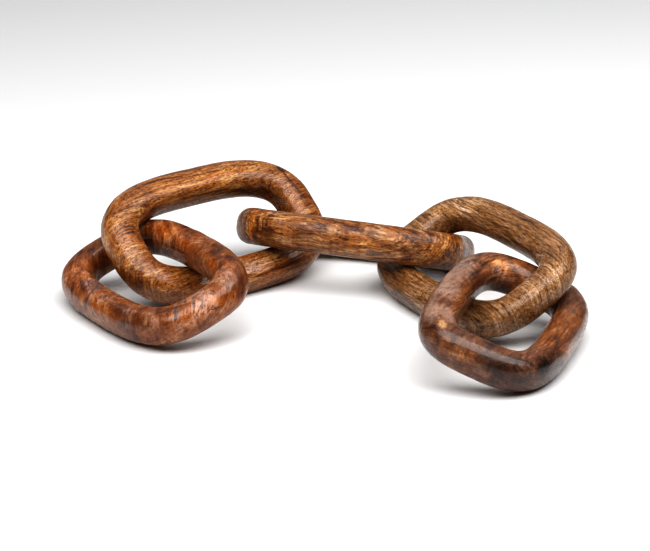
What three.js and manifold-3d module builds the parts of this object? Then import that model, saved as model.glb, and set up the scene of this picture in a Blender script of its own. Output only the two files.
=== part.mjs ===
// A loose chain of five carved wooden links, lying where it was set down on a flat surface.
// Millimetres, +Z up, the longest way of the pile along X.
// Each link is one piece of wood, a long ring with round corners and a softly squared rod.
// It passes through its neighbour and leans on it, and its lowest place is worn flat.

import * as THREE from "three";
import { mergeVertices } from "three/addons/utils/BufferGeometryUtils.js";
import Module from "manifold-3d";

const wasm = await Module();
wasm.setup();

// Sections round a ring and sides round its rod
const ringSteps = 56;
const rodSides = 16;

// Power of the rod's section: 2 is a circle, more is squarer
const rodSquareness = 2.3;

// Slab under the resting surface that takes the rest flats off the links
const slabWidth = 700;
const slabDepth = 60;

// length and width are outside sizes of the ring, rod is its thickness across and through it,
// squareness is the power of the ring's outline, swell widens it towards its far end and skew
// leans it sideways. centre is the middle of the ring. heading turns its long axis from +X,
// dip slopes that axis down, and roll tips the ring about it, all in degrees.
const links = [
  {
    name: "front_left_link",
    colour: 0x8a4f2c, roughness: 0.36,
    length: 165.6, width: 99.8, rod: [23.9, 23.6], squareness: 3.05, swell: -0.018, skew: 0.021,
    centre: [-111.7, 10.6, 25.7], heading: -58.7, dip: -0.3, roll: 21.4
  },
  {
    name: "back_left_link",
    colour: 0xb0702f, roughness: 0.36,
    length: 172.3, width: 103.2, rod: [25.5, 24.6], squareness: 3.06, swell: 0.002, skew: 0.014,
    centre: [-72.1, 80.6, 38.1], heading: 37.5, dip: -0.6, roll: 40.6
  },
  {
    name: "middle_link",
    colour: 0xb5793a, roughness: 0.36,
    length: 167.6, width: 105.3, rod: [23.6, 25.9], squareness: 3.71, swell: 0.006, skew: -0.001,
    centre: [26.4, 91.6, 27.3], heading: -18.2, dip: 2.4, roll: -19.2
  },
  {
    name: "back_right_link",
    colour: 0xb98546, roughness: 0.38,
    length: 179.3, width: 102.1, rod: [25.2, 22.4], squareness: 3.32, swell: -0.018, skew: 0.023,
    centre: [106.7, 18.8, 31.5], heading: -63.4, dip: -0.6, roll: 30.8
  },
  {
    name: "front_right_link",
    colour: 0x6e452c, roughness: 0.32,
    length: 158.1, width: 97.9, rod: [24.0, 24.9], squareness: 3.48, swell: 0.011, skew: -0.018,
    centre: [120.5, -74.5, 25.4], heading: 71.2, dip: -2.1, roll: 19.7
  }
];

function rounded(angle, power) {
  const value = Math.cos(angle);
  return Math.sign(value) * Math.pow(Math.abs(value), 2 / power);
}

// Middle line of the rod: a rounded rectangle in the ring's own plane
function middleLine(link, turn) {
  const halfLength = (link.length - link.rod[0]) / 2;
  const halfWidth = (link.width - link.rod[0]) / 2;
  const x = halfLength * rounded(turn, link.squareness);
  const y = halfWidth * rounded(turn - Math.PI / 2, link.squareness);
  return new THREE.Vector2(x + link.skew * y, y * (1 + link.swell * x / halfLength));
}

// Direction that faces out of the ring at a place on its middle line
function outwardAt(link, turn) {
  const step = 0.02;
  const along = middleLine(link, turn + step).sub(middleLine(link, turn - step));
  return new THREE.Vector2(along.y, -along.x).normalize();
}

function ringGeometry(link) {
  const geometry = new THREE.TorusGeometry(1, 0.5, rodSides, ringSteps);
  const place = geometry.attributes.position;
  const uv = geometry.attributes.uv;
  for (let i = 0; i < place.count; i += 1) {
    const round = uv.getX(i) * 2 * Math.PI;
    const across = uv.getY(i) * 2 * Math.PI;
    const middle = middleLine(link, round);
    const out = outwardAt(link, round);
    const reach = link.rod[0] / 2 * rounded(across, rodSquareness);
    const rise = link.rod[1] / 2 * rounded(across - Math.PI / 2, rodSquareness);
    place.setXYZ(i, middle.x + out.x * reach, middle.y + out.y * reach, rise);
  }
  geometry.deleteAttribute("normal");
  geometry.deleteAttribute("uv");
  return mergeVertices(geometry, 0.001);
}

// A closed mesh as a solid that can be joined and cut
function solidFrom(geometry) {
  return new wasm.Manifold(new wasm.Mesh({
    numProp: 3,
    vertProperties: new Float32Array(geometry.attributes.position.array),
    triVerts: new Uint32Array(geometry.index.array)
  }));
}

function geometryFrom(solid) {
  const faces = solid.getMesh();
  const geometry = new THREE.BufferGeometry();
  geometry.setAttribute("position", new THREE.BufferAttribute(faces.vertProperties, 3));
  geometry.setIndex(new THREE.BufferAttribute(faces.triVerts, 1));
  geometry.computeVertexNormals();
  return geometry;
}

// The slab below the resting surface, seen from inside a turned link
function slabUnder(mesh) {
  const slab = new THREE.BoxGeometry(slabWidth, slabWidth, slabDepth);
  slab.translate(0, 0, -slabDepth / 2);
  slab.applyMatrix4(mesh.matrix.clone().invert());
  slab.deleteAttribute("normal");
  slab.deleteAttribute("uv");
  return mergeVertices(slab, 0.001);
}

function makeLink(link) {
  const wood = new THREE.MeshStandardMaterial({
    color: link.colour, roughness: link.roughness, metalness: 0
  });
  const mesh = new THREE.Mesh(ringGeometry(link), wood);
  mesh.name = link.name;
  mesh.position.set(...link.centre);
  mesh.rotation.order = "ZYX";
  mesh.rotation.set(
    THREE.MathUtils.degToRad(link.roll),
    THREE.MathUtils.degToRad(link.dip),
    THREE.MathUtils.degToRad(link.heading)
  );
  mesh.updateMatrix();
  mesh.geometry = geometryFrom(solidFrom(mesh.geometry).subtract(solidFrom(slabUnder(mesh))));
  return mesh;
}

const group = new THREE.Group();
group.name = "wooden_chain";
for (const link of links) group.add(makeLink(link));

export default group;
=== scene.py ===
"""A loose chain of five carved wooden links lying on a pale floor."""

import math

import bmesh
import bpy
from bpy.props import CollectionProperty, EnumProperty, FloatProperty, FloatVectorProperty
from bpy.props import IntProperty, PointerProperty, StringProperty
from mathutils import Euler, Matrix, Vector, noise


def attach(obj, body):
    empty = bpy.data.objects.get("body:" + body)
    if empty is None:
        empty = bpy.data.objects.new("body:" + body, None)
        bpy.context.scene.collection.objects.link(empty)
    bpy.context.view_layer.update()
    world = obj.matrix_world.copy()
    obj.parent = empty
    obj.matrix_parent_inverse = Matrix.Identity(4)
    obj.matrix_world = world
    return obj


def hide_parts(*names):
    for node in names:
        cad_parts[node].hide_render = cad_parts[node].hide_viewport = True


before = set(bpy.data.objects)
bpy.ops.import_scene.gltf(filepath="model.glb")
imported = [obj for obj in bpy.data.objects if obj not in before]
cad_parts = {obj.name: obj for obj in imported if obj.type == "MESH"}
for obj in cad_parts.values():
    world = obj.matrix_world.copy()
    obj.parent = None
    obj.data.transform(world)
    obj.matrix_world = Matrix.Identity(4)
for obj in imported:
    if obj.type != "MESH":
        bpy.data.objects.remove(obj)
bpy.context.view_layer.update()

bl_info = {
    "name": "Wooden Chain",
    "version": (1, 0, 0),
    "blender": (4, 5, 0),
    "location": "3D View > Sidebar > Chain",
    "description": "Carves five interlinked wooden links and lays them on a pale floor",
    "category": "Add Mesh",
}

# A millimetre in metres
MM = 0.001

# Sizes of the links as they are carved, in millimetres, how they lie, in degrees, and their wood.
# A mark is: kind, turn round the ring, place round the rod, length, breadth, slant, strength.
# Besides knots, stains and streaks, some marks paint highlights, sheen or shade into the colour.
LINKS = [
    {
        "name": "front_left_link", "slot": "reddish_wood", "seed": 3,
        "length": 165.6, "width": 99.8, "rod_across": 23.9, "rod_through": 23.6,
        "squareness": 3.05, "section": 2.45, "swell": -0.018, "skew": 0.021,
        "centre": (-111.7, 10.6, 25.7), "heading": -58.7, "dip": -0.3, "roll": 21.4,
        "dark": (0.058, 0.012, 0.003), "warm": (0.200, 0.060, 0.013), "light": (0.42, 0.21, 0.115),
        "stain": (0.080, 0.040, 0.036), "gloss": 0.31, "lacquer": 0.4,
        "rise": 37, "swing": -47, "curl": 1.3, "fibre": 12, "pores": 0.3, "mottle": 1.7, "lines": 0.6,
        "bands": 1.7, "pith_side": 70, "pith_below": 42,
        "marks": [
            ("smoke", 93, 84, 16, 10, 30, 0.75),
            ("smoke", 72, 86, 26, 12, 30, 0.85),
            ("orange", 104, 106, 26, 12, 20, 0.6),
            ("orange", 60, 128, 28, 9, 20, 0.6),
            ("light", 46, 58, 22, 16, 0, 0.55),
            ("dark", 50, 99, 18, 3, 10, 0.7),
            ("smoke", 19, 45, 18, 7, 80, 0.7),
            ("pale", 18, 74, 6, 4, 0, 0.7),
            ("dark", 5, 56, 4, 2, 0, 0.8),
            ("crack", 2, 8, 11, 0.9, 12, 0.9),
            ("crack", 354, 25, 11, 0.7, 80, 0.7),
            ("dark", 340, 88, 34, 3, 4, 0.6),
            ("smoke", 262, 96, 26, 14, 0, 0.9),
            ("smoke", 286, 79, 34, 10, 0, 0.85),
            ("orange", 277, 50, 50, 10, 0, 0.4),
            ("dark", 300, 52, 50, 14, 0, 0.45),
            ("light", 356, 28, 50, 16, 0, 0.6),
            ("painted_sheen", 22, 62, 22, 12, 0, 0.35),
            # This light mark is partly lighter wood and partly a painted highlight.
            ("light", 248, 90, 44, 18, 0, 0.8),
            ("smoke", 296, 20, 18, 14, 0, 0.8),
            ("smoke", 268, 34, 12, 7, 60, 0.6),
            ("light", 230, 126, 28, 20, 0, 0.9),
            ("amber", 118, 112, 30, 16, 20, 0.6),
            ("amber", 92, 112, 30, 12, 20, 0.5),
            ("dark", 91, 155, 24, 3, 0, 0.7),
            ("dark", 129, 158, 16, 10, 0, 0.7),
        ],
    },
    {
        "name": "back_left_link", "slot": "golden_wood", "seed": 11,
        "length": 172.3, "width": 103.2, "rod_across": 25.5, "rod_through": 24.6,
        "squareness": 3.06, "section": 2.6, "swell": 0.002, "skew": 0.014,
        "centre": (-72.1, 80.6, 38.1), "heading": 37.5, "dip": -0.6, "roll": 40.6,
        "dark": (0.044, 0.0075, 0.001), "warm": (0.235, 0.078, 0.014), "light": (0.47, 0.25, 0.09),
        "stain": (0.08, 0.03, 0.018), "gloss": 0.29, "lacquer": 0.4,
        "rise": -3, "swing": 4, "curl": 1.2, "fibre": 11, "pores": 0.7, "mottle": 0.9, "lines": 1.0,
        "bands": 1.1, "pith_side": 75, "pith_below": 54,
        "marks": [
            ("dark", 89, 153, 52, 2, 0, 0.8),
            ("black", 33, 70, 8, 5, 20, 0.95),
            ("dark", 16, 90, 40, 2.4, 8, 0.8),
            ("light", 178, 34, 46, 30, 0, 0.9),
            ("light", 212, 62, 30, 22, 0, 0.35),
            ("light", 4, 122, 26, 12, 0, 0.5),
            ("painted_sheen", 272, 84, 30, 12, 0, 0.4),
            ("gold", 90, 96, 90, 12, 0, 0.7),
            # These two dark marks paint shade on the inner face of the rod.
            ("dark", 60, 172, 50, 8, 0, 0.55),
            ("dark", 5, 176, 24, 10, 0, 0.5),
            ("smoke", 286, 60, 40, 6, 0, 0.5),
        ],
    },
    {
        "name": "middle_link", "slot": "honey_wood", "seed": 23,
        "length": 167.6, "width": 105.3, "rod_across": 23.6, "rod_through": 25.9,
        "squareness": 3.71, "section": 2.35, "swell": 0.006, "skew": -0.001,
        "centre": (26.4, 91.6, 27.3), "heading": -18.2, "dip": 2.4, "roll": -19.2,
        "dark": (0.046, 0.010, 0.002), "warm": (0.225, 0.083, 0.020), "light": (0.50, 0.285, 0.135),
        "stain": (0.085, 0.042, 0.03), "gloss": 0.31, "lacquer": 0.25,
        "rise": 3, "swing": -4, "curl": 2.0, "fibre": 13, "pores": 0.45, "mottle": 1.5, "lines": 1.15,
        "bands": 1.0, "pith_side": 65, "pith_below": 42,
        "marks": [
            ("smoke", 213, 350, 18, 34, 0, 0.75),
            # The sheen mark here paints a grey sheen over the end of the ring.
            ("painted_sheen", 213, 352, 12, 36, 0, 0.35),
            ("orange", 227, 352, 3.5, 34, 0, 1.0),
            ("dark", 232, 346, 5, 26, 0, 0.5),
            ("dark", 242, 332, 14, 14, 0, 0.35),
            ("smoke", 268, 24, 18, 7, 0, 0.8),
            ("smoke", 264, 355, 16, 7, 0, 0.6),
            # These light marks are partly lighter wood and partly a painted highlight along the rod.
            ("light", 250, 4, 20, 12, 0, 0.6),
            ("light", 273, 0, 28, 9, 0, 0.7),
            ("dark", 302, 16, 4, 3, 0, 0.9),
            ("dark", 306, 24, 26, 1.6, 0, 0.6),
            ("light", 293, 20, 26, 8, 8, 0.6),
            ("dark", 302, 353, 18, 7, 0, 0.3),
            ("gold", 340, 14, 34, 26, 0, 0.6),
            ("light", 326, 12, 30, 16, 0, 0.35),
        ],
    },
    {
        "name": "back_right_link", "slot": "light_wood", "seed": 37,
        "length": 179.3, "width": 102.1, "rod_across": 25.2, "rod_through": 22.4,
        "squareness": 3.32, "section": 2.35, "swell": -0.018, "skew": 0.023,
        "centre": (106.7, 18.8, 31.5), "heading": -63.4, "dip": -0.6, "roll": 30.8,
        "dark": (0.040, 0.011, 0.003), "warm": (0.258, 0.121, 0.042), "light": (0.50, 0.32, 0.19),
        "stain": (0.08, 0.04, 0.026), "gloss": 0.30, "lacquer": 0.4,
        "rise": 2, "swing": -2, "curl": 0.2, "fibre": 20, "pores": 0.95, "mottle": 0.6, "lines": 1.1,
        "bands": 1.0, "pith_side": 85, "pith_below": 18,
        "marks": [
            ("dark", 107, 106, 3, 2.4, 0, 0.9),
            ("dark", 102, 92, 3, 2, 0, 0.6),
            ("light", 8, 58, 40, 22, 0, 0.5),
            ("light", 140, 112, 64, 15, 0, 0.7),
            ("dark", 255, 66, 60, 18, 0, 0.4),
            ("dark", 320, 95, 26, 16, 0, 0.5),
            ("light", 119, 126, 28, 9, 0, 0.6),
        ],
    },
    {
        "name": "front_right_link", "slot": "dark_wood", "seed": 51,
        "length": 158.1, "width": 97.9, "rod_across": 24.0, "rod_through": 24.9,
        "squareness": 3.48, "section": 2.4, "swell": 0.011, "skew": -0.018,
        "centre": (120.5, -74.5, 25.4), "heading": 71.2, "dip": -2.1, "roll": 19.7,
        "dark": (0.027, 0.010, 0.005), "warm": (0.130, 0.046, 0.018), "light": (0.33, 0.155, 0.078),
        "stain": (0.07, 0.036, 0.034), "gloss": 0.30, "lacquer": 0.5,
        "rise": 4, "swing": -6, "curl": 1.2, "fibre": 14, "pores": 0.05, "mottle": 1.6, "lines": 0.65,
        "bands": 0.9, "pith_side": -8, "pith_below": 76,
        "marks": [
            ("dark", 136, 43, 9, 7, 30, 0.85),
            ("pale", 150, 67, 9, 6, 20, 0.6),
            # The sheen marks on the left bar paint a greyish-violet sheen, a painted reflection of the
            # lamps.
            ("painted_sheen", 85, 62, 70, 22, 0, 0.5),
            ("painted_sheen", 125, 52, 26, 14, 0, 0.5),
            ("dark", 204, 62, 26, 4, 0, 0.8),
            ("black", 229, 44, 17, 12, 0, 0.85),
            ("dark", 208, 30, 46, 22, 0, 0.4),
            ("dark", 238, 20, 44, 24, 0, 0.8),
            # This smoke mark paints shade: it darkens the lower front face of the front bar.
            ("smoke", 195, 345, 100, 22, 0, 0.6),
            ("light", 64, 114, 36, 15, 0, 0.9),
            ("light", 38, 142, 28, 18, 0, 0.65),
            ("gold", 44, 138, 40, 18, 0, 0.25),
            ("light", 16, 154, 26, 16, 0, 0.9),
            ("painted_sheen", 96, 80, 26, 20, 0, 0.6),
            ("dark", 186, 32, 30, 14, 0, 0.45),
            ("gold", 275, 80, 40, 10, 0, 0.4),
            ("painted_sheen", 131, 100, 24, 12, 0, 0.5),
            ("orange", 30, 118, 50, 10, 0, 0.5),
            ("orange", 95, 132, 60, 10, 0, 0.5),
            ("orange", 265, 104, 60, 15, 0, 0.8),
            ("gold", 172, 16, 40, 12, 0, 0.6),
            ("smoke", 154, 338, 22, 12, 0, 0.7),
        ],
    },
]

# How each kind of mark changes the colour: it tints it, or covers it with a colour. Some kinds paint
# highlights, sheen or shade.
MARK_KINDS = {
    "dark": ("MULTIPLY", (0.20, 0.16, 0.16)),
    "black": ("MULTIPLY", (0.08, 0.08, 0.10)),
    # This kind darkens and cools the colour: smoky stains, and at one place painted shade.
    "smoke": ("MULTIPLY", (0.48, 0.52, 0.85)),
    "amber": ("MULTIPLY", (1.1, 0.85, 0.45)),
    "orange": ("MULTIPLY", (1.8, 1.6, 0.8)),
    "gold": ("MULTIPLY", (1.5, 1.5, 1.0)),
    # This kind lightens and whitens the colour: lighter patches of wood, and painted highlights where
    # the lamps shine on the rod.
    "light": ("MULTIPLY", (1.6, 1.75, 2.0)),
    "pale": ("MIX", (0.50, 0.30, 0.14)),
    # This kind paints a greyish-violet sheen into the colour: a painted reflection of the soft boxes.
    "painted_sheen": ("MIX", (0.37, 0.235, 0.175)),
    "crack": ("MIX", (0.012, 0.006, 0.004)),
}

# Least depth of a mark in the wood, and least size of the lumps in its edge, in millimetres
LEAST_MARK_DEPTH = 3.0
LEAST_LUMP = 2.0

# How strongly those lumps push the edge in and out
RAGGEDNESS = 1.6

# Sizes of the wood's features in millimetres: along the fibres, and both ways across them
STREAK = (28, 2.0, 2.0)
SPECK = (1.5, 0.8, 0.8)
FIGURE = (2.6, 12, 12)
PATCH = (44, 20, 20)
SMUDGE = (19, 5.5, 5.5)
HUE_CHANGE = (34, 13, 13)
MEANDER = (70, 32, 32)
RIPPLE = (9, 34, 34)

# Breadth of the fibres and of the pores in millimetres, and a pore's length as a share of the fibres'
FIBRE_BREADTH = 0.85
PORE_BREADTH = 0.55
PORE_SHARE = 0.4

# Width over which the fibres meander, in millimetres
MEANDER_WIDTH = 11

# Sizes of the growth layers in millimetres: away from the pith, along the fibres, and aside
LAYER = (5.5, 190, 90)
THIN_RING = (0.9, 60, 16)

# Steps in millimetres that give each link another part of the pattern, and the hue yet another
TREE_SPACING = 311.0
LAYER_SPACING = 97.0
HUE_SHIFT = 400.0

# Tints between which the wood's hue wanders
COOL_TINT = (0.92, 1.00, 1.25)
GOLDEN_TINT = (1.10, 1.00, 0.72)

# How far hue, stains, fine lines and pores change the colour where their strength is 1
TINT_SHARE = 0.4
STAIN_SHARE = 0.55
LINE_SHARE = 0.75
PORE_DARKNESS = 0.85

# Depth of the grain, and how far the link's roughness rises and falls over its surface
GRAIN_DEPTH = 0.4 * MM
ROUGHER = 0.14
SMOOTHER = 0.08

# Section that keeps the rod's full thickness, and how much slimmer a squarer one is carved
PLAIN_SECTION = 2.3
SLIMMING = 0.055

# Sizes of the knife's broad and fine hollows, and how deep the fine ones are beside the broad
BROAD_HOLLOW = 16 * MM
FINE_HOLLOW = 6 * MM
FINE_SHARE = 0.25

# Share of the hollows' depth at the side of the rod, more outside the ring and less inside it
SIDE_SHARE = 0.6
OUTER_GAIN = 0.4

# Steps in millimetres that give each link other hollows
HOLLOW_STEPS = (7.3, 1.9, 0)

# Soft boxes: name, place, width and height in metres, and the setting that holds their power
SOFT_BOXES = (
    ("ceiling_panel", (0, 0.9, 2.2), (3, 3), "panel_power"),
    ("key_light", (0.14, -0.50, 1.27), (3.0, 1.2), "key_power"),
    ("backdrop", (0, 2.8, 0.7), (4, 1.2), "backdrop_power"),
)

# Half the side of the floor, its gap under the chain, and how far the camera sees, in metres
FLOOR_HALF_SIDE = 4
FLOOR_GAP = 0.2 * MM
FAR_CLIP = 20

# Values of a link that are taken as they stand, without a change of unit
PLAIN_VALUES = (
    "slot", "seed", "squareness", "section", "swell", "skew", "dark", "warm", "light", "stain",
    "gloss", "lacquer", "curl", "fibre", "mottle", "lines", "bands", "pores",
)


class MarkSettings(bpy.types.PropertyGroup):
    """One knot, smudge, crack or streak in the wood, or a painted highlight, sheen or shade."""

    kind: EnumProperty(
        name="Kind", description="What the mark looks like", default="dark",
        items=[(kind, kind.capitalize(), "") for kind in MARK_KINDS],
    )
    turn: FloatProperty(name="Turn", description="Place round the ring", subtype="ANGLE", default=0)
    across: FloatProperty(name="Across", description="Place round the rod", subtype="ANGLE", default=0)
    length: FloatProperty(
        name="Length", description="Length along the rod", unit="LENGTH", default=0.01, min=0,
    )
    breadth: FloatProperty(
        name="Breadth", description="Breadth round the rod", unit="LENGTH", default=0.005, min=0,
    )
    slant: FloatProperty(name="Slant", description="Turn on the surface", subtype="ANGLE", default=0)
    strength: FloatProperty(
        name="Strength", description="How strongly the mark shows", subtype="FACTOR",
        default=0.7, min=0, max=1,
    )


class LinkSettings(bpy.types.PropertyGroup):
    """Sizes, place and wood of one link."""

    slot: StringProperty(name="Slot", description="Finish that the link takes", default="golden_wood")
    seed: IntProperty(name="Seed", description="Part of the tree that the link comes from", default=1)
    length: FloatProperty(name="Length", description="Outer length", unit="LENGTH", default=0.170)
    width: FloatProperty(name="Width", description="Outer width", unit="LENGTH", default=0.102)
    rod_across: FloatProperty(
        name="Rod Across", description="Thickness of the rod in the ring's plane",
        unit="LENGTH", default=0.0245,
    )
    rod_through: FloatProperty(
        name="Rod Through", description="Thickness of the rod square to the ring's plane",
        unit="LENGTH", default=0.0245,
    )
    squareness: FloatProperty(
        name="Squareness", description="2 bends the ring as an ellipse, more squares its corners",
        default=3.3, min=2,
    )
    section: FloatProperty(
        name="Section", description="2 rounds the rod fully, more gives it soft flats",
        default=2.3, min=2,
    )
    swell: FloatProperty(name="Swell", description="How much wider one end is carved", default=0)
    skew: FloatProperty(name="Skew", description="How far the long sides are shifted", default=0)
    centre: FloatVectorProperty(
        name="Centre", description="Middle of the ring", subtype="TRANSLATION", unit="LENGTH",
    )
    heading: FloatProperty(name="Heading", description="Turn about the vertical", subtype="ANGLE")
    dip: FloatProperty(name="Dip", description="Slope of the long axis", subtype="ANGLE")
    roll: FloatProperty(name="Roll", description="Turn about the long axis", subtype="ANGLE")
    dark: FloatVectorProperty(
        name="Dark Grain", description="Colour of the darkest layers", subtype="COLOR",
        default=(0.05, 0.014, 0.005), min=0, max=1,
    )
    warm: FloatVectorProperty(
        name="Warm Grain", description="Colour of most of the wood", subtype="COLOR",
        default=(0.26, 0.085, 0.018), min=0, max=1,
    )
    light: FloatVectorProperty(
        name="Light Grain", description="Colour of the lightest layers", subtype="COLOR",
        default=(0.48, 0.22, 0.07), min=0, max=1,
    )
    stain: FloatVectorProperty(
        name="Stain", description="Colour of the broad smoky patches", subtype="COLOR",
        default=(0.08, 0.035, 0.025), min=0, max=1,
    )
    gloss: FloatProperty(
        name="Roughness", description="Roughness of the waxed surface", subtype="FACTOR",
        default=0.34, min=0, max=1,
    )
    lacquer: FloatProperty(
        name="Lacquer", description="Share of clear finish over the wax", subtype="FACTOR",
        default=0.2, min=0, max=1,
    )
    rise: FloatProperty(name="Rise", description="How far the fibres climb", subtype="ANGLE")
    swing: FloatProperty(name="Swing", description="How far the fibres run aslant", subtype="ANGLE")
    pith_side: FloatProperty(
        name="Pith Side", description="How far beside the ring the tree's pith was", unit="LENGTH",
    )
    pith_below: FloatProperty(
        name="Pith Below", description="How far under the ring the tree's pith was", unit="LENGTH",
    )
    curl: FloatProperty(name="Curl", description="Height of the ripples in the grain, in mm", default=1)
    fibre: FloatProperty(name="Fibre", description="Length of the fibres' lines, in mm", default=8)
    mottle: FloatProperty(name="Mottle", description="Strength of patches and smudges", default=1, min=0)
    lines: FloatProperty(name="Lines", description="Strength of streaks and fibres", default=1, min=0)
    bands: FloatProperty(name="Bands", description="Strength of the growth layers", default=1, min=0)
    pores: FloatProperty(
        name="Pores", description="Share of the pores that show dark", subtype="FACTOR",
        default=0.5, min=0, max=1,
    )
    marks: CollectionProperty(type=MarkSettings)


class StageSettings(bpy.types.PropertyGroup):
    """Floor, light and camera."""

    floor_tone: FloatProperty(
        name="Floor Tone", description="Lightness of the floor", subtype="FACTOR", default=0.72,
    )
    daylight: FloatProperty(name="Daylight", description="Even light from all round", default=0.06)
    panel_power: FloatProperty(
        name="Ceiling Panel", description="Power of the broad panel above", unit="POWER", default=14,
    )
    key_power: FloatProperty(
        name="Key Light", description="Power of the wide soft box in front", unit="POWER", default=44,
    )
    backdrop_power: FloatProperty(
        name="Backdrop", description="Power of the bright wall behind", unit="POWER", default=4,
    )
    focal_pixels: FloatProperty(
        name="Focal Pixels", description="Focal length in pixels of the photograph", default=2432.4,
    )
    distance: FloatProperty(
        name="Distance", description="From the camera to its target", unit="LENGTH", default=1.677,
    )
    elevation: FloatProperty(
        name="Elevation", description="How far the camera looks down", subtype="ANGLE",
        default=math.radians(18.77),
    )
    camera_roll: FloatProperty(
        name="Camera Roll", description="Tilt of the photograph", subtype="ANGLE",
        default=math.radians(-0.57),
    )
    target: FloatVectorProperty(
        name="Target", description="Where the camera looks", subtype="TRANSLATION", unit="LENGTH",
        default=(0.0047, 0.0354, 0.0195),
    )


class ChainSettings(bpy.types.PropertyGroup):
    """Everything that a user would change on the chain."""

    links: CollectionProperty(type=LinkSettings)
    stage: PointerProperty(type=StageSettings)
    ring_steps: IntProperty(name="Ring Steps", description="Steps round each ring", default=520, min=24)
    rod_sides: IntProperty(name="Rod Sides", description="Sides of each rod", default=112, min=8)
    unevenness: FloatProperty(
        name="Unevenness", description="Depth of the knife's broad hollows", unit="LENGTH",
        default=0.00045, min=0,
    )


def add_object(name, data):
    thing = bpy.data.objects.new(name, data)
    bpy.context.scene.collection.objects.link(thing)
    return thing


# Shape of a link

def rounded(angle, power):
    """Cosine of the angle, which a power over 2 makes squarer."""
    value = math.cos(angle)
    return math.copysign(abs(value) ** (2 / power), value)


def middle_line(link, turn):
    """Middle of the rod in the ring's own plane."""
    half_length = (link.length - link.rod_across) / 2
    half_width = (link.width - link.rod_across) / 2
    x = half_length * rounded(turn, link.squareness)
    y = half_width * rounded(turn - math.pi / 2, link.squareness)
    return Vector((x + link.skew * y, y * (1 + link.swell * x / half_length), 0))


def along_rod(link, turn):
    """Direction in which the rod runs at a place on the ring."""
    reach = 0.02
    return (middle_line(link, turn + reach) - middle_line(link, turn - reach)).normalized()


def rod_arm(link, along, across):
    """From the middle of the rod to its surface. A squarer rod is slimmer, to keep its girth."""
    slimmer = 1 - SLIMMING * (link.section - PLAIN_SECTION)
    reach = link.rod_across / 2 * slimmer * rounded(across, link.section)
    rise = link.rod_through / 2 * slimmer * rounded(across - math.pi / 2, link.section)
    return Vector((along.y * reach, -along.x * reach, rise))


def turned(link):
    """How the ring is turned as it lies."""
    return Euler((link.roll, link.dip, link.heading), "XYZ")


def hollows(place, across, depth):
    """Broad and fine unevenness that the knife leaves, less of it inside the ring."""
    here = depth * (SIDE_SHARE + OUTER_GAIN * math.cos(across))
    broad = noise.noise(place / BROAD_HOLLOW)
    fine = noise.noise(place / FINE_HOLLOW)
    return (broad + fine * FINE_SHARE) * here


def plain_ring(steps, sides):
    """A round ring of radius 1. It is spun in long steps, and these are then cut into short ones."""
    rod_radius = 0.3
    cuts = 7
    least_turn = 0.01
    bm = bmesh.new()
    bmesh.ops.create_circle(bm, segments=sides, radius=rod_radius)
    bmesh.ops.rotate(bm, verts=bm.verts, cent=(0, 0, 0), matrix=Matrix.Rotation(math.pi / 2, 3, "X"))
    bmesh.ops.translate(bm, verts=bm.verts, vec=(1, 0, 0))
    bmesh.ops.spin(
        bm, geom=bm.verts[:] + bm.edges[:], cent=(0, 0, 0), axis=(0, 0, 1),
        angle=2 * math.pi, steps=steps // (cuts + 1), use_merge=True, use_duplicate=False,
    )
    lengthwise = [e for e in bm.edges if abs(e.verts[0].co.cross(e.verts[1].co).z) > least_turn]
    bmesh.ops.subdivide_edges(bm, edges=lengthwise, cuts=cuts, use_grid_fill=True)
    return bm


def shape_ring(bm, chain, link):
    """Give a plain ring the link's own form and the knife's hollows."""
    steps = chain.ring_steps
    turns = [2 * math.pi * step / steps for step in range(steps)]
    middles = [middle_line(link, turn) for turn in turns]
    alongs = [along_rod(link, turn) for turn in turns]
    shift = Vector([link.seed * step for step in HOLLOW_STEPS]) * MM
    for vert in bm.verts:
        step = round(math.atan2(vert.co.y, vert.co.x) / (2 * math.pi) * steps) % steps
        across = math.atan2(vert.co.z, math.hypot(vert.co.x, vert.co.y) - 1)
        arm = rod_arm(link, alongs[step], across)
        place = middles[step] + arm
        vert.co = place + arm.normalized() * hollows(place + shift, across, chain.unevenness)


def carve_link(chain, link):
    """Make the link's mesh where it lies, worn flat where it rests."""
    bm = plain_ring(chain.ring_steps, chain.rod_sides)
    shape_ring(bm, chain, link)
    bmesh.ops.rotate(bm, verts=bm.verts, cent=(0, 0, 0), matrix=turned(link).to_matrix())
    bmesh.ops.translate(bm, verts=bm.verts, vec=link.centre)
    for vert in bm.verts:
        vert.co.z = max(vert.co.z, 0)
    bmesh.ops.recalc_face_normals(bm, faces=bm.faces)
    mesh = bpy.data.meshes.new(link.name + "_wood")
    bm.to_mesh(mesh)
    bm.free()
    mesh.shade_smooth()
    return add_object(mesh.name, mesh)


# Wood

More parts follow.
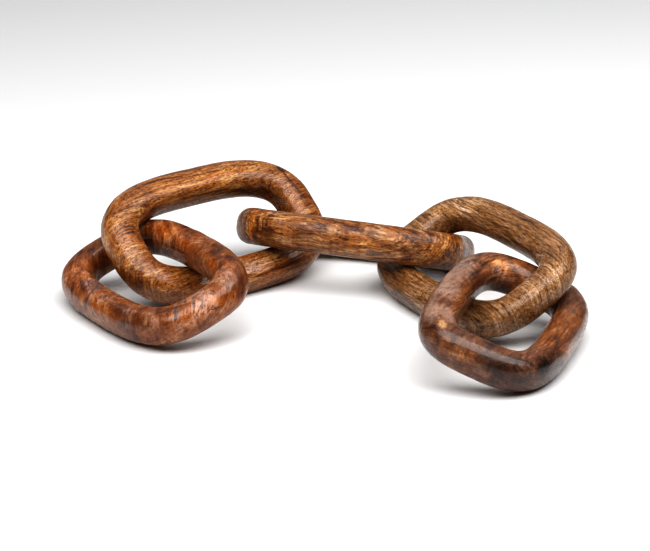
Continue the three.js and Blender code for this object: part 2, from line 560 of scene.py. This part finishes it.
class Tree:
    """Adds and joins the nodes of one material."""

    def __init__(self, material):
        material.use_nodes = True
        self.nodes = material.node_tree.nodes
        self.links = material.node_tree.links
        self.shader = self.nodes["Principled BSDF"]

    def feed(self, socket, value):
        if isinstance(value, bpy.types.NodeSocket):
            self.links.new(value, socket)
        elif socket.type == "RGBA":
            socket.default_value = (*value, 1)
        else:
            socket.default_value = value

    def add(self, kind, inputs, **settings):
        node = self.nodes.new(kind)
        for key, value in settings.items():
            setattr(node, key, value)
        for key, value in inputs.items():
            self.feed(node.inputs[key], value)
        return node

    def math(self, operation, a, b=0.0):
        return self.add("ShaderNodeMath", {0: a, 1: b}, operation=operation).outputs[0]

    def vector(self, operation, a, b=(0, 0, 0)):
        return self.add("ShaderNodeVectorMath", {0: a, 1: b}, operation=operation).outputs[0]

    def length(self, a):
        return self.add("ShaderNodeVectorMath", {0: a}, operation="LENGTH").outputs["Value"]

    def placed(self, vector, place, rotation, scale):
        inputs = {"Vector": vector, "Location": place, "Rotation": rotation, "Scale": scale}
        return self.add("ShaderNodeMapping", inputs, vector_type="TEXTURE").outputs[0]

    def noise(self, vector, size, detail=2.0, roughness=0.5):
        """Noise whose lumps have the given size along each axis."""
        scaled = self.vector("DIVIDE", vector, size)
        inputs = {"Vector": scaled, "Scale": 1.0, "Detail": detail, "Roughness": roughness}
        return self.add("ShaderNodeTexNoise", inputs)

    def around_zero(self, vector, size, detail=2.0, roughness=0.5):
        return self.math("SUBTRACT", self.noise(vector, size, detail, roughness).outputs[0], 0.5)

    def sway(self, vector, size, amount):
        """Shift that bends the grain, by at most half the amount each way."""
        colour = self.noise(vector, size).outputs["Color"]
        return self.vector("MULTIPLY", self.vector("SUBTRACT", colour, (0.5, 0.5, 0.5)), amount)

    def ramp(self, value, low, high, to_low=0.0, to_high=1.0):
        inputs = {"Value": value, "From Min": low, "From Max": high, "To Min": to_low, "To Max": to_high}
        return self.add("ShaderNodeMapRange", inputs, interpolation_type="SMOOTHSTEP").outputs[0]

    def mix(self, factor, a, b, blend="MIX"):
        """Mix of two colours, which a mix node takes at inputs 6 and 7 and gives at output 2."""
        node = self.add("ShaderNodeMix", {}, data_type="RGBA", blend_type=blend)
        for socket, value in ((node.inputs[0], factor), (node.inputs[6], a), (node.inputs[7], b)):
            self.feed(socket, value)
        return node.outputs[2]


def in_mm(vector):
    return [value / MM for value in vector]


def wood_coordinates(tree, link):
    """Millimetres on the link itself, along its bent fibres, and those shifted by its seed."""
    place = tree.add("ShaderNodeTexCoord", {}).outputs["Object"]
    own = tree.placed(place, link.centre, turned(link), (MM, MM, MM))
    pith = in_mm((0, link.pith_side, -link.pith_below))
    fibre = tree.placed(own, pith, (0, link.rise, link.swing), (1, 1, 1))
    meander = tree.sway(fibre, MEANDER, (0, MEANDER_WIDTH, MEANDER_WIDTH))
    ripple = tree.sway(fibre, RIPPLE, (0, link.curl, link.curl))
    bent = tree.vector("ADD", tree.vector("ADD", fibre, meander), ripple)
    seeded = tree.vector("ADD", bent, (link.seed * TREE_SPACING, 0, 0))
    return own, bent, seeded


def growth_layers(tree, bent, link):
    """Broad layers that lie round the pith, and the thin rings in them."""
    split = tree.add("ShaderNodeSeparateXYZ", {0: bent}).outputs
    flat = tree.add("ShaderNodeCombineXYZ", {1: split[1], 2: split[2]}).outputs[0]
    around = tree.length(flat)
    layer = tree.add("ShaderNodeCombineXYZ", {0: around, 1: split[0], 2: split[1]}).outputs[0]
    shifted = tree.vector("ADD", layer, (link.seed * LAYER_SPACING, 0, 0))
    broad = tree.around_zero(shifted, LAYER, detail=3.0, roughness=0.6)
    thin = tree.around_zero(shifted, THIN_RING, detail=2.0, roughness=0.6)
    return broad, thin


def grain_of(tree, bent, seeded, link):
    """Features of the wood by name, each a value that varies around zero."""
    layers, rings = growth_layers(tree, bent, link)
    aside = tree.vector("ADD", seeded, (0, HUE_SHIFT, 0))
    fibre = (link.fibre, FIBRE_BREADTH, FIBRE_BREADTH)
    return {
        "layers": layers,
        "rings": rings,
        "streaks": tree.around_zero(seeded, STREAK, detail=4.0, roughness=0.62),
        "fibres": tree.around_zero(seeded, fibre, detail=2.0, roughness=0.7),
        "specks": tree.around_zero(seeded, SPECK, detail=1.0),
        "figure": tree.around_zero(seeded, FIGURE, detail=3.0, roughness=0.6),
        "patches": tree.around_zero(seeded, PATCH, detail=3.0, roughness=0.55),
        "smudges": tree.around_zero(seeded, SMUDGE, detail=3.0, roughness=0.65),
        "hue": tree.around_zero(aside, HUE_CHANGE, detail=3.0),
    }


def tone_of(tree, grain, link):
    """How light the wood is: darker below zero, lighter above it."""
    weights = {
        "layers": 0.9 * link.bands,
        "rings": link.lines,
        "streaks": 1.6 * link.lines,
        "fibres": 0.6 * link.lines,
        "specks": 3 / link.fibre,
        "figure": 0.3 * link.curl,
        "patches": 1.2 * link.mottle,
        "smudges": link.mottle,
    }
    tone = 0.0
    for feature, weight in weights.items():
        tone = tree.math("ADD", tree.math("MULTIPLY", grain[feature], weight), tone)
    return tone


def pore_dashes(tree, seeded, link, crowding):
    """Short dark dashes along the fibres, which show as dots on end grain."""
    dash = (link.fibre * PORE_SHARE, PORE_BREADTH, PORE_BREADTH)
    scaled = tree.vector("DIVIDE", seeded, dash)
    cells = tree.add("ShaderNodeTexVoronoi", {"Vector": scaled, "Scale": 1.0})
    shape = tree.ramp(cells.outputs["Distance"], low=0.48, high=0.28)
    chance = tree.add("ShaderNodeSeparateColor", {0: cells.outputs["Color"]}).outputs[0]
    share = tree.math("ADD", crowding, link.pores)
    shown = tree.math("LESS_THAN", chance, share)
    return tree.math("MULTIPLY", shape, shown)


def mark_factor(tree, own, link, mark):
    """The mark's strength in its middle, 0 away from it."""
    along = along_rod(link, mark.turn)
    arm = rod_arm(link, along, mark.across)
    place = middle_line(link, mark.turn) + arm
    around = along.cross(arm).normalized()
    normal = around.cross(along)
    lengthwise = along * math.cos(mark.slant) + around * math.sin(mark.slant)
    axes = Matrix((lengthwise, normal, lengthwise.cross(normal))).transposed()
    length, breadth = in_mm((mark.length / 2, mark.breadth / 2))
    size = (length, max(breadth, LEAST_MARK_DEPTH), breadth)
    near = tree.length(tree.placed(own, in_mm(place), axes.to_euler("XYZ"), size))
    lump = max(breadth / 2, LEAST_LUMP)
    ragged = tree.around_zero(own, (lump, lump, lump), detail=3.0, roughness=0.6)
    near = tree.math("ADD", near, tree.math("MULTIPLY", ragged, RAGGEDNESS))
    return tree.ramp(near, low=1.2, high=0.45, to_low=0.0, to_high=mark.strength)


def bare_colour(tree, grain, link):
    """Colour of the wood before its marks and its dark lines."""
    tone = tone_of(tree, grain, link)
    colour = tree.mix(tree.ramp(tone, low=-0.7, high=0.05), link.dark, link.warm)
    colour = tree.mix(tree.ramp(tone, low=-0.05, high=0.7), colour, link.light)
    tint = tree.mix(tree.ramp(grain["hue"], low=-0.12, high=0.12), COOL_TINT, GOLDEN_TINT)
    colour = tree.mix(TINT_SHARE * link.mottle, colour, tint, "MULTIPLY")
    smoke = tree.math("ADD", grain["smudges"], grain["patches"])
    stained = tree.ramp(smoke, low=0.10, high=0.30, to_low=0.0, to_high=STAIN_SHARE * link.mottle)
    return tree.mix(stained, colour, link.stain)


def wood(link):
    """Material of a link, with its grain, its marks, its dark lines and pores, and its finish."""
    material = bpy.data.materials.new(link.slot)
    tree = Tree(material)
    own, bent, seeded = wood_coordinates(tree, link)
    grain = grain_of(tree, bent, seeded, link)
    colour = bare_colour(tree, grain, link)
    # Marks are knots, smudges, cracks and streaks, and also painted highlights, sheen and shade.
    for mark in link.marks:
        blend, shade = MARK_KINDS[mark.kind]
        colour = tree.mix(mark_factor(tree, own, link, mark), colour, shade, blend)

    # Lines are dark where fibres, rings and streaks are low, and pores crowd in the dark streaks
    threads = tree.math("ADD", tree.math("MULTIPLY", grain["fibres"], 0.6), grain["rings"])
    darkening = tree.math("ADD", threads, tree.math("MULTIPLY", grain["streaks"], 0.5))
    fine = tree.ramp(darkening, low=-0.04, high=-0.24, to_low=0.0, to_high=LINE_SHARE * link.lines)
    crowding = tree.math("MULTIPLY", grain["streaks"], -1.2)
    pores = pore_dashes(tree, seeded, link, crowding)
    deep = tree.math("MAXIMUM", fine, tree.math("MULTIPLY", pores, PORE_DARKNESS))

    smooth = tree.math("ADD", grain["fibres"], grain["smudges"])
    dull, bright = link.gloss + ROUGHER, link.gloss - SMOOTHER
    height = tree.math("SUBTRACT", tree.math("ADD", threads, grain["specks"]), pores)
    bump = tree.add("ShaderNodeBump", {"Height": height, "Strength": 0.7, "Distance": GRAIN_DEPTH})
    finish = {
        "Base Color": tree.mix(deep, colour, link.dark),
        "Roughness": tree.ramp(smooth, low=-0.3, high=0.3, to_low=dull, to_high=bright),
        "Normal": bump.outputs[0],
        "Specular IOR Level": 0.24,
        "Coat Weight": link.lacquer,
        "Coat Roughness": 0.16,
    }
    for key, value in finish.items():
        tree.feed(tree.shader.inputs[key], value)
    return material


# Stage

def set_camera(stage):
    photo_width, sensor_width = 650, 36.0
    data = bpy.data.cameras.new("photo_camera")
    data.sensor_width = sensor_width
    data.lens = sensor_width * stage.focal_pixels / photo_width
    data.clip_end = FAR_CLIP
    camera = add_object("photo_camera", data)
    looking = Vector((0, math.cos(stage.elevation), -math.sin(stage.elevation)))
    camera.matrix_world = (
        Matrix.Translation(stage.target - looking * stage.distance)
        @ Matrix.Rotation(math.pi / 2 - stage.elevation, 4, "X")
        @ Matrix.Rotation(stage.camera_roll, 4, "Z")
    )
    bpy.context.scene.camera = camera


def soft_box(name, place, size, power):
    """A rectangular lamp that faces the origin, on the floor amid the chain."""
    data = bpy.data.lights.new(name, "AREA")
    data.shape = "RECTANGLE"
    data.size, data.size_y = size
    data.energy = power
    lamp = add_object(name, data)
    lamp.location = place
    lamp.rotation_euler = (-Vector(place)).to_track_quat("-Z", "Y").to_euler()


def lay_floor(tone):
    bm = bmesh.new()
    bmesh.ops.create_grid(bm, x_segments=2, y_segments=2, size=FLOOR_HALF_SIDE)
    bmesh.ops.translate(bm, verts=bm.verts, vec=(0, 0, -FLOOR_GAP))
    mesh = bpy.data.meshes.new("floor")
    bm.to_mesh(mesh)
    bm.free()
    material = bpy.data.materials.new("pale_floor")
    tree = Tree(material)
    tree.feed(tree.shader.inputs["Base Color"], (tone, tone, tone))
    tree.feed(tree.shader.inputs["Roughness"], 0.8)
    mesh.materials.append(material)
    return add_object("floor", mesh)


def fill_room(strength):
    """Even white light from all round."""
    world = bpy.data.worlds.new("studio")
    world.use_nodes = True
    background = world.node_tree.nodes["Background"]
    background.inputs["Color"].default_value = (1, 1, 1, 1)
    background.inputs["Strength"].default_value = strength
    bpy.context.scene.world = world


# Operators

class CHAIN_OT_set_out(bpy.types.Operator):
    """List the five links with their sizes, places and woods"""

    bl_idname = "chain.set_out"
    bl_label = "Set Out Links"

    def execute(self, context):
        links = context.scene.chain.links
        links.clear()
        for row in LINKS:
            link = links.add()
            link.name = row["name"]
            for key in ("length", "width", "rod_across", "rod_through", "pith_side", "pith_below"):
                setattr(link, key, row[key] * MM)
            link.centre = Vector(row["centre"]) * MM
            for key in ("heading", "dip", "roll", "rise", "swing"):
                setattr(link, key, math.radians(row[key]))
            for key in PLAIN_VALUES:
                setattr(link, key, row[key])
            for kind, turn, across, length, breadth, slant, strength in row["marks"]:
                mark = link.marks.add()
                mark.kind, mark.strength = kind, strength
                mark.turn, mark.across, mark.slant = map(math.radians, (turn, across, slant))
                mark.length, mark.breadth = length * MM, breadth * MM
        return {"FINISHED"}


class CHAIN_OT_carve_links(bpy.types.Operator):
    """Carve every listed link and give it its wood"""

    bl_idname = "chain.carve_links"
    bl_label = "Carve Links"

    def execute(self, context):
        chain = context.scene.chain
        if not chain.links:
            raise RuntimeError("No links are listed, so none can be carved")
        for link in chain.links:
            piece = carve_link(chain, link)
            piece.data.materials.append(wood(link))
            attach(piece, "root")
            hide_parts(link.name)
        return {"FINISHED"}


class CHAIN_OT_set_stage(bpy.types.Operator):
    """Place the camera, the pale floor and the studio light"""

    bl_idname = "chain.set_stage"
    bl_label = "Set Stage"

    def execute(self, context):
        stage = context.scene.chain.stage
        set_camera(stage)
        lay_floor(stage.floor_tone)
        fill_room(stage.daylight)
        for name, place, size, setting in SOFT_BOXES:
            soft_box(name, place, size, getattr(stage, setting))
        context.scene.view_settings.view_transform = "Standard"
        context.scene.view_settings.look = "High Contrast"
        return {"FINISHED"}


class CHAIN_PT_panel(bpy.types.Panel):
    """Lists the steps that make the chain"""

    bl_label = "Wooden Chain"
    bl_space_type = "VIEW_3D"
    bl_region_type = "UI"
    bl_category = "Chain"

    def draw(self, context):
        chain = context.scene.chain
        for operator in OPERATORS:
            self.layout.operator(operator.bl_idname)
        for key in ("ring_steps", "rod_sides", "unevenness"):
            self.layout.prop(chain, key)
        for link in chain.links:
            box = self.layout.box()
            box.label(text=link.name.replace("_", " ").capitalize())
            for key in ("length", "width", "rod_across", "rod_through", "warm", "light", "gloss"):
                box.prop(link, key)


SETTINGS = (MarkSettings, LinkSettings, StageSettings, ChainSettings)
OPERATORS = (CHAIN_OT_set_out, CHAIN_OT_carve_links, CHAIN_OT_set_stage)
CLASSES = (*SETTINGS, *OPERATORS, CHAIN_PT_panel)


def register():
    for cls in CLASSES:
        bpy.utils.register_class(cls)
    bpy.types.Scene.chain = PointerProperty(type=ChainSettings)


def unregister():
    del bpy.types.Scene.chain
    for cls in reversed(CLASSES):
        bpy.utils.unregister_class(cls)


def main():
    register()
    bpy.ops.chain.set_stage()
    bpy.ops.chain.set_out()
    bpy.ops.chain.carve_links()


if __name__ == "__main__":
    main()
